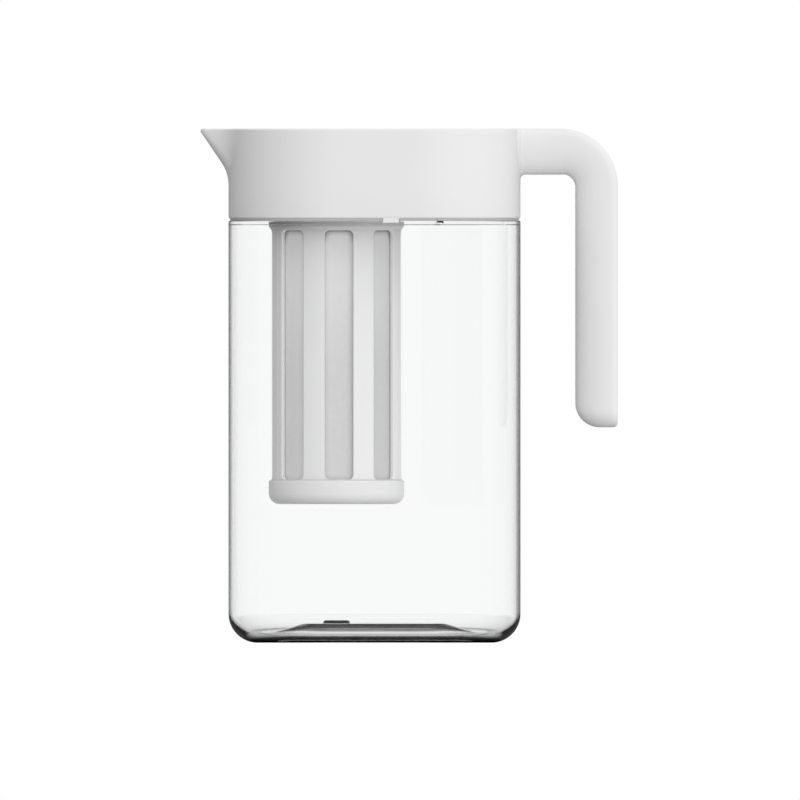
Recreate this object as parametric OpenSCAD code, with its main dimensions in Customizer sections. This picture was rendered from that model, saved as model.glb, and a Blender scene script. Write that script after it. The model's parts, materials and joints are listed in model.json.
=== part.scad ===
// Water filter pitcher. A slim clear vessel wears a white collar that carries the pouring spout and
// the open-ended handle. A hopper lifts out of the collar and holds a twist-lock filter cage with its
// cartridge, and a cover with a fill door and a spout flap closes the top.
// Millimetres, +Z up, +X towards the handle, origin in the middle of the base.

/* [Vessel] */
// Length of the jug body, from the spout side to the handle side
body_length = 146; // [138:1:164]
// Width of the jug body
body_width = 108; // [104:1:118]
// Height of the underside of the collar above the table
seam_height = 212; // [195:1:240]
// Thickness of the clear side wall
vessel_wall = 3; // [2.4:0.1:3.4]
// Radius of the outer bottom edge
base_corner = 14.5; // [11:0.5:18]
// Thickness of the clear floor
floor_thickness = 3; // [2.4:0.1:4]
// Rise of the middle of the floor over its edge
floor_rise = 5.4; // [4:0.1:7]
// Width of the ring that the vessel stands on
foot_width = 9; // [5:0.5:11]
// Diameter of the round boss on the floor under the filter
boss_diameter = 13.5; // [9:0.5:18]
// Height of that boss
boss_height = 2; // [1.2:0.1:3]

/* [Neck and collar] */
// Height of the collar
collar_height = 45; // [43:1:54]
// Thickness of the collar wall
collar_wall = 3.5; // [3:0.1:4]
// Radius of the collar's lower outer edge
seam_round = 1.2; // [0.6:0.1:1.6]
// Height of the clear neck inside the collar
neck_height = 16; // [14:0.5:18]
// Thickness of the clear neck
neck_wall = 2.5; // [2:0.1:3]
// Thickness of the shoulder that carries the collar
shoulder_thickness = 2; // [1.6:0.1:3]
// Height of the snap bead round the neck
bead_height = 0.8; // [0.5:0.1:1]
// Thickness of the gasket in the seam
gasket_thickness = 1; // [0.8:0.1:1.5]
// How far the gasket stays behind the collar's outside
gasket_inset = 0.8; // [0.4:0.1:1.2]
// Length of the two keys that stop the collar from turning
key_length = 8; // [5:0.5:10]
// Distance of the keys from the middle of the jug
key_offset = 8.2; // [0:0.2:9]
// Depth of the keys and of the gasket tabs below the seam
key_depth = 2; // [1.6:0.1:2.6]
// Width of the gasket's two locating tabs
tab_width = 2.6; // [1.6:0.2:4]
// Angle of the tabs from the side of the jug, round its handle end
tab_angle = 15; // [5:1:40]

/* [Spout] */
// Reach of the lip beyond the collar
spout_reach = 14; // [10:0.5:18]
// Angle of each side of the V from its middle, seen from above
spout_half_angle = 31; // [26:1:36]
// Lean of the spout's front line from upright
spout_lean = 34; // [28:1:40]
// Radius that blends the front line into the wall
spout_blend = 20; // [10:1:24]
// Radius of the nose at the lip
nose_radius = 5; // [3:0.1:6]
// Radius of the nose where it runs out in the wall
nose_root_radius = 16; // [10:1:18]
// Thickness of the spout
spout_wall = 2.2; // [1.8:0.1:2.4]
// Height of the upright lip edge
lip_height = 1.4; // [0.8:0.1:2.5]

/* [Handle] */
// Distance from the collar to the outside of the grip
handle_reach = 48.6; // [44:0.2:56]
// Height of the arm at the collar
arm_thickness = 23; // [18:0.5:26]
// Thickness of the grip, from its inner to its outer face
grip_thickness = 21.2; // [18:0.2:24]
// Width of the handle
handle_width = 24; // [20:0.5:30]
// Outer radius of the bend
bend_radius = 28.5; // [27:0.5:34]
// Distance from the rim to the free end of the grip
handle_drop = 149.3; // [120:0.1:170]
// Distance from the outer face to the widest place of the section
widest_depth = 3.8; // [2:0.2:6]
// Radius of the outer edges of the section
handle_edge = 2.2; // [1:0.2:4]
// Radius of the inner corner at the free end
end_inner_radius = 12.2; // [6:0.2:14]
// Radius of the outer corner at the free end
end_outer_radius = 2.2; // [1:0.2:4]
// Radius that rounds the free end across its width
end_side_radius = 8; // [4:0.5:9]
// Radius of the fillet between arm and collar
arm_fillet = 2.4; // [1:0.2:4]

/* [Hopper] */
// Thickness of the hopper wall and floor
hopper_wall = 2.5; // [2:0.1:3]
// Depth of the hopper floor below the top of the neck
hopper_sink = 5.5; // [5:0.1:7]
// Thickness of the flange that rests on the neck
flange_thickness = 2; // [1.6:0.1:2.6]
// Thickness of the seal under that flange
hopper_seal_thickness = 2; // [1.4:0.1:2.5]
// Angle that each twist-lock hook spans
hook_angle = 24; // [16:1:28]
// Thickness of the hooks
hook_thickness = 1.8; // [1.4:0.1:2.4]
// Radial width of the posts that carry the hooks
post_width = 2.5; // [2:0.1:3]

/* [Filter cage] */
// Outer radius of the cage tube
cage_radius = 32.9; // [31:0.1:33.6]
// Thickness of the cage tube
cage_wall = 2.2; // [1.6:0.1:2.6]
// Distance from the seam down to the bottom of the cage cap
cage_drop = 142.7; // [120:0.1:150]
// Number of windows round the cage
window_count = 8; // [6:1:9]
// Angle that each window spans
window_angle = 25; // [18:1:28]
// Corner radius of the windows
window_corner = 2.4; // [0.8:0.1:4]
// How far the cap and the upper band stand out from the tube
band_proud = 1; // [0.6:0.1:1.2]
// Height of the upper band that shows below the seam
band_drop = 5; // [3:0.2:8]
// Height of the cage cap
cap_height = 11.9; // [9:0.1:16]
// Radius of the cap's bottom edge
cap_edge = 5.5; // [3:0.1:6]
// Thickness of the cap's floor
cap_floor = 2.5; // [1.8:0.1:3]
// Thickness of the cage flange and its lugs
cage_flange = 2.2; // [1.8:0.1:2.8]
// Width of the flange outside the band
flange_width = 1.9; // [1.6:0.1:2.2]
// How far the lugs stand out from the flange
lug_length = 1.7; // [1.4:0.1:2]
// Angle that each lug spans
lug_angle = 30; // [24:1:34]
// Thickness of the seal under the cage flange
cage_seal_thickness = 1.2; // [0.8:0.1:1.6]

/* [Cartridge] */
// Height of the cartridge's top plug inside the cage
plug_height = 19.9; // [14:0.1:22]
// Thickness of the lid of the top cap
cap_lid = 2.2; // [1.8:0.1:3]
// Height of the bottom cap
bottom_cap_height = 5.9; // [4.5:0.1:8]
// Inner radius of the core tube
core_radius = 7; // [6:0.1:8]
// Thickness of the core tube
core_wall = 2; // [1.5:0.1:2.5]
// Diameter of the holes in the core tube
core_hole = 3; // [2:0.1:4]
// Thickness of the fleece round the carbon
wrap_thickness = 3.3; // [2:0.1:4.5]
// Radius of the round section of the cartridge seal
ring_radius = 0.9; // [0.7:0.1:1.2]
// Inner height and half width of the pull loop
loop_radius = 10; // [8:0.5:10.5]
// Thickness of the pull loop
loop_thickness = 4; // [3:0.2:5]

/* [Cover] */
// Thickness of the cover plate
cover_plate = 4.5; // [4.2:0.1:5.5]
// Depth of the cover's top below the collar's rim
cover_sink = 1; // [0.4:0.1:2]
// Height of the rim that stands on the hopper
cover_rim = 2; // [1.5:0.1:3]
// Height of the ring that plugs into the hopper, below the rim
cover_plug = 6.5; // [5:0.1:7]
// Thickness of that ring
plug_wall = 2.3; // [2:0.1:3]
// Height of the cover's seal
cover_seal_height = 1.8; // [1.2:0.1:2.4]
// Length of the fill door
door_length = 75.5; // [60:0.5:78]
// Width of the fill door
door_width = 57; // [44:0.5:62]
// Corner radius of the fill door
door_corner = 16; // [8:0.5:20]
// Thickness of the fill door
door_thickness = 2.5; // [2.4:0.1:2.8]
// Width of the ledge that the fill door lies on
door_ledge = 2.5; // [2:0.1:4]
// Distance of the door's hinge from the middle of the body's handle end
hinge_set_back = 14; // [8:0.5:18]
// Width of the door's hinge neck
hinge_width = 29.4; // [20:0.2:34]
// Diameter of the door's hinge pin
door_pin_diameter = 2.5; // [2:0.1:2.6]
// Diameter of the flap's hinge pin
flap_pin_diameter = 2; // [1.6:0.1:2.2]
// Thickness of the spout flap
flap_thickness = 2; // [1.6:0.1:2.4]
// Length of the flap's barrel
flap_barrel = 21; // [16:0.5:22]

/* [Fits] */
// Gap between pieces that slide past each other
slide_gap = 0.5; // [0.4:0.05:0.6]
// Gap round pieces that seat in each other and stay
seat_gap = 0.3; // [0.2:0.05:0.4]
// Gap round the hinge pins
pin_gap = 0.05; // [0.03:0.01:0.1]

/* [Hidden] */
$fn = 96;
// Length that carries a cut past the face that it opens
over = 1;

// Plan of the body: two half circles joined by straight sides
body_r = body_width / 2;
spine = (body_length - body_width) / 2;
filter_x = -spine;
wall_x = spine + body_r;

// Levels from the table to the rim
bead_rise = 8.5;
shoulder_z = seam_height - gasket_thickness;
neck_top = shoulder_z + neck_height;
rim_z = seam_height + collar_height;
bead_z = shoulder_z + bead_rise;
bead_gap = 0.2;
cover_top = rim_z - cover_sink;
plate_z = cover_top - cover_plate;
hopper_top = plate_z - cover_rim;
flange_z = neck_top + hopper_seal_thickness;
basin_floor = neck_top - hopper_sink;

// Radii of the nested shells, counted from the body's spine
collar_in = body_r - collar_wall;
neck_out = collar_in - seat_gap;
neck_in = neck_out - neck_wall;
hopper_low = neck_in - slide_gap;
hopper_high = collar_in - slide_gap;
basin_r = hopper_high - hopper_wall;
cover_gap = 0.4;
cover_r = collar_in - cover_gap;
plug_r = basin_r - seat_gap;

// Vessel details
shoulder_round = 1.5;
vessel_in = body_r - vessel_wall;
inner_corner = base_corner - vessel_wall;
foot_out = body_r - base_corner;
foot_in = foot_out - foot_width;
recess_r = 13;
floor_rim = 8.5;
floor_slope = 17;
ledge_z = shoulder_z - shoulder_thickness;
ledge_round = 0.3;

// Keys and tabs between collar, gasket and vessel
key_face = 0.3;
key_thickness = 1.7;
notch_depth = key_face + key_thickness + 2 * seat_gap;
notch_z = seam_height - key_depth - seat_gap;
tab_face = 0.1;
gasket_gap = 0.2;

// Filter cage and its seat in the hopper
throat_gap = 0.4;
lug_gap = 0.4;
front_gap = 1;
hopper_seal_step = 0.7;
cage_seal_step = 0.2;
band_r = cage_radius + band_proud;
throat_r = band_r + throat_gap;
cage_seal_in = throat_r + seat_gap;
flange_r = band_r + flange_width;
lug_r = flange_r + lug_length;
post_in = lug_r + lug_gap;
post_out = post_in + post_width;
lug_count = 3;
cage_seat = basin_floor + cage_seal_thickness;
cage_top = cage_seat + cage_flange;
cage_bottom = seam_height - cage_drop;
cap_top = cage_bottom + cap_height;
cage_in = cage_radius - cage_wall;
spigot_step = 1;
spigot_r = cage_radius - spigot_step;
spigot_bottom = cage_bottom + cap_floor + seat_gap;
cap_gap = 0.2;
cap_bore = spigot_r + cap_gap;
snap_drop = 5.6;
snap_z = cap_top - snap_drop;
snap_half = 0.8;
snap_height = 0.4;
window_turn = 2.3;
window_sill = 0.4;
window_head = 0.8;
band_bottom = seam_height - band_drop;
front_in = filter_x - lug_r - front_gap;
front_out = front_in - hopper_wall;

// Cartridge
plug_out = cage_in - slide_gap;
block_top = cage_top - plug_height;
block_bottom = spigot_bottom + bottom_cap_height;
wrap_gap = 0.1;
wrap_out = plug_out - wrap_gap;
end_cap_wall = 3.4;
end_cap_floor = 3;
inlet_count = 6;
inlet_hole = 3.2;
wrap_in = wrap_out - wrap_thickness;
block_gap = 0.3;
lid_top = cage_top + cap_lid;
ring_drop = 9;
ring_gap = 0.1;
groove_gap = 0.15;
ring_z = cage_top - ring_drop;

// Cover, door and flap
hinge_x = spine + hinge_set_back;
hinge_neck = 6;
door_rear = hinge_x - hinge_neck;
door_front = door_rear - door_length;
door_z = cover_top - door_thickness;
door_gap = 0.5;
barrel_wall = 1.15;
barrel_sink = 0.2;
hinge_r = door_pin_diameter / 2 + barrel_wall;
hinge_z = cover_top - barrel_sink - hinge_r;
// Room that the door's rear edge needs as it swings up past the cover's top
door_swing = hinge_neck - sqrt(pow(hinge_neck, 2) - pow(cover_top - hinge_z, 2)) + seat_gap;
hinge_back_gap = 1.8;
pocket_behind = hinge_r + hinge_back_gap;
pin_grip = 5.3;
door_pin_length = hinge_width + 2 * pin_grip;
flap_z = cover_top - flap_thickness;
flap_r = flap_pin_diameter / 2 + barrel_wall;
flap_axis_z = cover_top - barrel_sink - flap_r;
flap_pin_grip = 4;
flap_pin_length = flap_barrel + 2 * flap_pin_grip;
// The flap's axis keeps this distance from the cover's edge at the ends of its pin
flap_edge = 3.95;
flap_x = flap_edge - spine - sqrt(pow(cover_r, 2) - pow(flap_pin_length / 2, 2));
flap_gap = 0.5;
flap_back_gap = 1.4;
hinge_side_gap = 0.6;
// Slot that a pin is snapped in through, as a share of its diameter, and the gap at a pin's ends
slot_share = 0.92;
pin_end_gap = 0.2;
seal_gap = 0.1;
seal_back_gap = 0.05;
seal_depth = 1.1;
seal_drop = 3.3;
seal_z = hopper_top - seal_drop;

// Points on an arc
function arc(centre, r, from, to, steps) =
    [for (i = [0:steps]) let (q = from + (to - from) * i / steps) centre + r * [cos(q), sin(q)]];

// S-curve from p to q that leaves and arrives along the first axis
function s_curve(p, q, steps) =
    [for (i = [0:steps]) let (t = i / steps, eased = (1 - cos(180 * t)) / 2)
        [p.x + (q.x - p.x) * t, p.y + (q.y - p.y) * eased]];

// Body plan grown to radius r round its spine
module stadium(r) {
    for (end = [-spine, spine]) translate([end, 0]) circle(r);
    square([2 * spine, 2 * r], center = true);
}

// Body plan cut straight across at its spout side
module basin(r, front) {
    intersection() {
        stadium(r);
        translate([front, -body_r]) square([wall_x - front, body_width]);
    }
}

// Wall between two basin plans
module basin_ring(r_out, front_a, r_in, front_b) {
    difference() {
        basin(r_out, front_a);
        basin(r_in, front_b);
    }
}

// Carries a section of radius and height round the whole body plan
module stadium_sweep(section) {
    for (side = [-1, 1]) translate([side * spine, 0, 0]) rotate(-90 * side)
        rotate_extrude(angle = 180) polygon(section);
    for (side = [0, 1]) mirror([0, side, 0]) rotate([90, 0, 90])
        translate([0, 0, -spine]) linear_extrude(2 * spine) polygon(section);
}

// Plate between two heights
module slab(z0, z1) {
    translate([0, 0, z0]) linear_extrude(z1 - z0) children();
}

// Rectangle from x0 to x1 with round corners
module rounded_rect(x0, x1, half, r) {
    translate([x0 + r, -half]) square([x1 - x0 - 2 * r, 2 * half]);
    translate([x0, -half + r]) square([x1 - x0, 2 * (half - r)]);
    for (x = [x0 + r, x1 - r], y = [-half + r, half - r]) translate([x, y]) circle(r);
}

// Skin over a row of rings, each a list of points, that run anticlockwise seen from the last ring
module loft(rings) {
    n = len(rings[0]);
    last = len(rings) - 1;
    sides = [for (k = [0:last - 1], i = [0:n - 1]) let (
        p = k * n + i,
        q = k * n + (i + 1) % n)
        each [[p, p + n, q + n], [p, q + n, q]]];
    first_cap = [for (i = [0:n - 1]) i];
    last_cap = [for (i = [n - 1:-1:0]) last * n + i];
    polyhedron([for (ring = rings) each ring], concat(sides, [first_cap, last_cap]));
}

// Ring with a rectangular section
module ring(r_in, r_out, z0, z1) {
    rotate_extrude() translate([r_in, z0]) square([r_out - r_in, z1 - z0]);
}

// Solid that spans an angle round the Z axis, centred on +X
module sector(r_in, r_out, z0, z1, angle) {
    rotate(-angle / 2) rotate_extrude(angle = angle)
        translate([r_in, z0]) square([r_out - r_in, z1 - z0]);
}

// Cylinder along Y, centred on the middle plane
module cross_pin(x, z, r, length) {
    translate([x, 0, z]) rotate([90, 0, 0]) cylinder(h = length, r = r, center = true);
}

// Section of the snap bead on the neck, or of its groove when grown
function bead_section(r, grow) = let (
    foot = 2 * bead_height + grow,
    flat = 0.6 * bead_height,
    crest = r + bead_height + grow
) [
    [r - over, bead_z - foot], [r, bead_z - foot], [crest, bead_z - flat],
    [crest, bead_z + flat], [r, bead_z + foot], [r - over, bead_z + foot]
];

// Places a child on both long sides of the body, at key_offset
module at_keys() {
    for (side = [0, 1]) mirror([0, side, 0]) translate([key_offset, 0, 0]) children();
}

// Places a child, drawn along +X, where the gasket tabs are
module at_tabs() {
    for (side = [0, 1]) mirror([0, side, 0]) translate([spine, 0, 0]) rotate(tab_angle - 90) children();
}

// Notch for a key or tab of the given length, cut into the outside at +Y
module key_notch(length) {
    translate([-length / 2 - seat_gap, body_r - notch_depth, notch_z])
        cube([length + 2 * seat_gap, notch_depth + over, key_depth + seat_gap]);
}

// Clear vessel with foot ring, raised floor, shoulder and neck
module vessel() {
    rise_from = vessel_in - inner_corner - floor_rim;
    rise_to = rise_from - floor_slope;
    plateau = floor_thickness + floor_rise;
    section = concat(
        [[0, floor_rise]],
        s_curve([recess_r, floor_rise], [foot_in, 0], 8),
        arc([foot_out, base_corner], base_corner, -90, 0, 12),
        arc([body_r - shoulder_round, shoulder_z - shoulder_round], shoulder_round, 0, 90, 5),
        [[neck_out, shoulder_z], [neck_out, neck_top], [neck_in, neck_top]],
        arc([neck_in + ledge_round, ledge_z + ledge_round], ledge_round, 180, 270, 3),
        arc([vessel_in - ledge_round, ledge_z - ledge_round], ledge_round, 90, 0, 3),
        arc([vessel_in - inner_corner, floor_thickness + inner_corner], inner_corner, 0, -90, 10),
        s_curve([rise_from, floor_thickness], [rise_to, plateau], 8),
        [[0, plateau]]
    );
    color("aliceblue", 0.35) difference() {
        union() {
            stadium_sweep(section);
            stadium_sweep(bead_section(neck_out, 0));
            translate([filter_x, 0, plateau - over]) cylinder(h = boss_height + over, d = boss_diameter);
        }
        at_keys() key_notch(key_length);
        at_tabs() rotate(-90) key_notch(tab_width);
    }
}

// Reach of the spout's front line beyond the wall, at height z
lip_z = rim_z - lip_height;
meet_z = lip_z - spout_reach / tan(spout_lean);
blend_z0 = meet_z - spout_blend * tan(spout_lean / 2);
blend_z1 = meet_z + spout_blend * tan(spout_lean / 2) * cos(spout_lean);
function keel(z) =
    z >= lip_z ? spout_reach
    : z >= blend_z1 ? (z - meet_z) * tan(spout_lean)
    : z > blend_z0 ? spout_blend - sqrt(pow(spout_blend, 2) - pow(z - blend_z0, 2))
    : 0;

// Nose radius where the spout reaches out by e, and the least one inside the channel
least_nose = 0.3;
function nose_at(e) = nose_radius + (nose_root_radius - nose_radius) * (1 - e / spout_reach);

// Plan of the spout at height z, drawn in by inset and carried back to x = root
function spout_ring(z, inset, root) = let (
    e = keel(z),
    centre = nose_at(e) - wall_x - e,
    r = max(nose_at(e) - inset, least_nose),
    turn = 90 - spout_half_angle,
    half_root = r * sin(turn) + (root - centre + r * cos(turn)) * tan(spout_half_angle)
) concat(arc([centre, 0], r, 180 - turn, 180 + turn, 14), [[root, -half_root], [root, half_root]]);

function at_height(ring, z, shift = 0) = [for (p = ring) [p.x + shift, p.y, z]];

// Heights of the spout's rings, from where it leaves the wall to its lip
spout_levels = concat(
    [for (i = [0:7]) blend_z0 + (blend_z1 - blend_z0) * i / 7],
    [for (i = [1:4]) blend_z1 + (lip_z - blend_z1) * i / 4]
);
// Where the spout's solid ends inside the collar
spout_depth = 16;
spout_root = spout_depth - wall_x;

module spout_outside() {
    loft(concat(
        [for (z = spout_levels) at_height(spout_ring(z, 0, spout_root), z)],
        [at_height(spout_ring(lip_z, 0, spout_root), rim_z)]
    ));
}

// The channel starts inside the collar's wall, so that its floor rises without a step
module spout_channel() {
    start = 2 * collar_wall;
    loft(concat(
        [at_height(spout_ring(blend_z0, spout_wall, spout_root), blend_z0 - start, start)],
        [for (z = spout_levels) at_height(spout_ring(z, spout_wall, spout_root), z)],
        [at_height(spout_ring(lip_z, spout_wall, spout_root), rim_z + over)]
    ));
}

// Section of the handle from outer depth u0 to inner depth u1: a flat outside with soft edges, widest
// near the outside, and half an ellipse towards the fingers
function handle_section(u0, u1, half) = let (
    wide = min(widest_depth, 0.4 * (u1 - u0)),
    edge = min(handle_edge, 0.6 * half),
    outer = [for (q = [0:22.5:90]) [u0 + wide * (1 - cos(q)), half - edge * (1 - sin(q))]],
    inner = [for (q = [81:-9:-81]) [u0 + wide + (u1 - u0 - wide) * cos(q), half * sin(q)]],
    loop = concat(outer, inner, [for (i = [len(outer) - 1:-1:0]) [outer[i].x, -outer[i].y]])
) [for (i = [len(loop) - 1:-1:0]) loop[i]];

// Puts a section where the outer face passes through origin, with inwards the direction to the fingers
function handle_ring(section, origin, inwards) =
    [for (p = section) [origin.x + p.x * inwards.x, p.y, origin.y + p.x * inwards.y]];

// How far a round of radius r has drawn in at height h above its end
function rounding(r, h) = r - sqrt(pow(r, 2) - pow(max(r - h, 0), 2));

module handle() {
    half = handle_width / 2;
    outer_x = wall_x + handle_reach;
    centre = [outer_x - bend_radius, rim_z - bend_radius];
    end_z = rim_z - handle_drop;
    // Arm, rooted in the collar's wall, with its fillet there
    arm_root = 6;
    fillet_sink = 0.4;
    fillet = [for (q = [0:22.5:90]) arm_fillet * [1 - cos(q), 1 - sin(q)] - [fillet_sink, 0]];
    arm = [for (f = concat([[-arm_root, arm_fillet]], fillet)) handle_ring(
        handle_section(0, arm_thickness + f.y, half + f.y / 2), [wall_x + f.x, rim_z], [0, -1])];
    bend = [for (q = [90:-9:0]) handle_ring(
        handle_section(0, grip_thickness + (arm_thickness - grip_thickness) * q / 90, half),
        centre + bend_radius * [cos(q), sin(q)], -[cos(q), sin(q)])];
    // Free end, rounded by its own radius on each side
    end = [for (q = [0:15:90]) let (
        h = end_inner_radius * (1 - sin(q)),
        outer_cut = rounding(end_outer_radius, h),
        inner_cut = rounding(end_inner_radius, h),
        side_cut = rounding(end_side_radius, h))
        handle_ring(handle_section(outer_cut, grip_thickness - inner_cut, half - side_cut),
            [outer_x, end_z + h], [-1, 0])];
    loft(concat(arm, bend, end));
}

// White collar with spout and handle in one moulding
module collar() {
    rim_round = 1;
    section = concat(
        [[0, seam_height]],
        arc([body_r - seam_round, seam_height + seam_round], seam_round, -90, 0, 4),
        arc([body_r - rim_round, rim_z - rim_round], rim_round, 0, 90, 4),
        [[0, rim_z]]
    );
    hollow = [
        [0, seam_height - over], [collar_in, seam_height - over], [collar_in, rim_z - rim_round],
        [collar_in + rim_round + over, rim_z + over], [0, rim_z + over]
    ];
    color("white") difference() {
        union() {
            stadium_sweep(section);
            spout_outside();
            handle();
            at_keys()
                translate([-key_length / 2, body_r - key_face - key_thickness, seam_height - key_depth])
                cube([key_length, key_thickness, key_depth + over]);
        }
        stadium_sweep(hollow);
        stadium_sweep(bead_section(collar_in, bead_gap));
        spout_channel();
    }
}

// Dark gasket in the seam, with its locating tabs
module collar_gasket() {
    color("dimgray") {
        difference() {
            slab(shoulder_z, seam_height) difference() {
                stadium(body_r - gasket_inset);
                stadium(neck_out + gasket_gap);
            }
            at_keys() key_notch(key_length);
        }
        at_tabs() translate([body_r - notch_depth + seat_gap, -tab_width / 2, seam_height - key_depth])
            cube([notch_depth - seat_gap - tab_face, tab_width, key_depth]);
    }
}

// Hooks that hold the cage's lugs down
module twist_hooks() {
    for (i = [0:lug_count - 1]) rotate(360 / lug_count * i) {
        hook_z = cage_top + seat_gap;
        sector(post_in, post_out, basin_floor - over, hook_z + hook_thickness, hook_angle);
        sector(flange_r + lug_gap, post_out, hook_z, hook_z + hook_thickness, hook_angle);
    }
}

// Funnel that holds the water to be filtered, with a straight front that leaves the pouring channel free
module hopper() {
    color("whitesmoke") difference() {
        union() {
            slab(basin_floor - hopper_wall, flange_z + flange_thickness) basin(hopper_low, front_out);
            slab(flange_z, hopper_top) basin(hopper_high, front_out);
        }
        difference() {
            union() {
                slab(basin_floor, flange_z + flange_thickness) basin(hopper_low - hopper_wall, front_in);
                slab(flange_z + flange_thickness, hopper_top + over) basin(basin_r, front_in);
            }
            translate([filter_x, 0, 0]) twist_hooks();
        }
        translate([filter_x, 0, basin_floor - hopper_wall - over])
            cylinder(h = hopper_wall + 2 * over, r = throat_r);
    }
}

// Seal between the hopper's flange and the neck
module hopper_seal() {
    color("dimgray") slab(neck_top, flange_z)
        basin_ring(hopper_high, front_out, hopper_low + hopper_seal_step, front_out - over);
}

// Seal between the cage's flange and the hopper's floor
module cage_seal() {
    color("dimgray") translate([filter_x, 0, 0])
        ring(cage_seal_in, flange_r - cage_seal_step, basin_floor, cage_seat);
}

// Tube with tall windows, a flange with three lugs on top and a spigot for the cap below
module filter_cage() {
    window_width = 2 * cage_radius * sin(window_angle / 2);
    window_bottom = cap_top + window_sill;
    window_top = band_bottom - window_head;
    bead_root = 0.5;
    cut_reach = 4;
    section = [
        [cage_in, spigot_bottom], [spigot_r - over, spigot_bottom], [spigot_r, spigot_bottom + over],
        [spigot_r, cap_top],
        [cage_radius, cap_top], [cage_radius, band_bottom], [band_r, band_bottom + band_proud],
        [band_r, cage_seat], [flange_r, cage_seat], [flange_r, cage_top],
        [cage_in + over, cage_top], [cage_in, cage_top - over]
    ];
    color("white") translate([filter_x, 0, 0]) difference() {
        union() {
            rotate_extrude() polygon(section);
            for (i = [0:lug_count - 1]) rotate(360 / lug_count * i)
                sector(band_r, lug_r, cage_seat, cage_top, lug_angle);
            // Snap bead that holds the cap
            rotate_extrude() polygon([
                [spigot_r - bead_root, snap_z - snap_half], [spigot_r, snap_z - snap_half],
                [spigot_r + snap_height, snap_z],
                [spigot_r, snap_z + snap_half], [spigot_r - bead_root, snap_z + snap_half]
            ]);
        }
        for (i = [0:window_count - 1]) rotate(360 / window_count * i - 90 + window_turn)
            translate([cage_in - cut_reach, 0, 0]) rotate([0, 90, 0])
            linear_extrude(cage_wall + 2 * cut_reach)
            rounded_rect(-window_top, -window_bottom, window_width / 2, window_corner);
    }
}

// Cup that closes the cage from below
module cage_cap() {
    top_round = 1;
    groove_half = snap_half + cap_gap;
    section = concat(
        [[0, cage_bottom]],
        arc([band_r - cap_edge, cage_bottom + cap_edge], cap_edge, -90, 0, 8),
        arc([band_r - top_round, cap_top - top_round], top_round, 0, 90, 4),
        [
            [cap_bore, cap_top], [cap_bore, snap_z + groove_half], [cap_bore + snap_height, snap_z],
            [cap_bore, snap_z - groove_half], [cap_bore, cage_bottom + cap_floor + over],
            [cap_bore - over, cage_bottom + cap_floor], [0, cage_bottom + cap_floor]
        ]
    );
    color("white") translate([filter_x, 0, 0]) rotate_extrude() polygon(section);
}

// Top cap of the cartridge: a cored plug with a lid, inlet holes and a pull loop
module cartridge_top_cap() {
    hub_wall = 2;
    hub = core_radius + core_wall + hub_wall;
    pocket = plug_out - end_cap_wall;
    groove = cage_in - 2 * ring_radius - groove_gap;
    lid_step = 0.7;
    lid_r = band_r - lid_step;
    lid_bevel = 0.6;
    groove_half = ring_radius + ring_gap;
    inlet_rim = 0.4;
    section = [
        [0, block_top], [hub, block_top], [hub, cage_top - cap_lid], [pocket, cage_top - cap_lid],
        [pocket, block_top], [plug_out, block_top],
        [plug_out, ring_z - groove_half], [groove, ring_z - groove_half],
        [groove, ring_z + groove_half], [plug_out, ring_z + groove_half],
        [plug_out, cage_top], [lid_r, cage_top], [lid_r, lid_top - lid_bevel],
        [lid_r - lid_bevel, lid_top], [0, lid_top]
    ];
    color("white") translate([filter_x, 0, 0]) {
        difference() {
            rotate_extrude() polygon(section);
            for (i = [0:inlet_count - 1]) rotate(360 / inlet_count * i)
                translate([core_radius - inlet_hole / 2 - inlet_rim, 0, block_top - over])
                cylinder(h = lid_top - block_top + 2 * over, d = inlet_hole);
        }
        translate([0, 0, lid_top - lid_bevel]) rotate([90, 0, 90]) rotate_extrude(angle = 180)
            translate([loop_radius + loop_thickness / 2, 0]) circle(d = loop_thickness, $fn = 48);
    }
}

// Bottom cap of the cartridge, cored from below, with a spigot that centres the core
module cartridge_bottom_cap() {
    spigot_gap = 0.2;
    spigot = core_radius - spigot_gap;
    spigot_height = 4;
    bevel = 0.5;
    r = plug_out - seat_gap;
    foot = plug_out - end_cap_wall;
    section = [
        [0, spigot_bottom + end_cap_floor], [foot, spigot_bottom + end_cap_floor], [foot, spigot_bottom],
        [r - bevel, spigot_bottom], [r, spigot_bottom + bevel], [r, block_bottom], [spigot, block_bottom],
        [spigot, block_bottom + spigot_height], [0, block_bottom + spigot_height]
    ];
    color("white") translate([filter_x, 0, 0]) rotate_extrude() polygon(section);
}

// Perforated tube that spreads the water along the carbon
module cartridge_core() {
    rows = 12;
    pitch = (block_top - block_bottom) / rows;
    color("gainsboro") translate([filter_x, 0, 0]) difference() {
        ring(core_radius, core_radius + core_wall, block_bottom, block_top);
        for (i = [0:rows - 1]) translate([0, 0, block_bottom + (i + 0.5) * pitch]) rotate(90 * (i % 2))
            rotate([90, 0, 0]) cylinder(h = 3 * core_radius, d = core_hole, center = true);
    }
}

// Pressed block of activated carbon
module carbon_block() {
    color("#2b2b2b") translate([filter_x, 0, 0])
        ring(core_radius + core_wall + block_gap, wrap_in - block_gap, block_bottom, block_top);
}

// White fleece that shows in the windows
module media_wrap() {
    color("ghostwhite") translate([filter_x, 0, 0]) ring(wrap_in, wrap_out, block_bottom, block_top);
}

// Round seal in the groove of the top cap
module cartridge_seal() {
    color("dimgray") translate([filter_x, 0, ring_z]) rotate_extrude()
        translate([cage_in - ring_gap - ring_radius, 0]) circle(ring_radius, $fn = 32);
}

// Bore for a hinge pin, with the narrower slot that the pin is snapped in through from below
module pin_seat(x, z, d, length) {
    slot = slot_share * d;
    cross_pin(x, z, d / 2 + pin_gap, length + 2 * pin_end_gap);
    translate([x - slot / 2, -length / 2, plate_z - over]) cube([slot, length, z - plate_z + over]);
}

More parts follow.
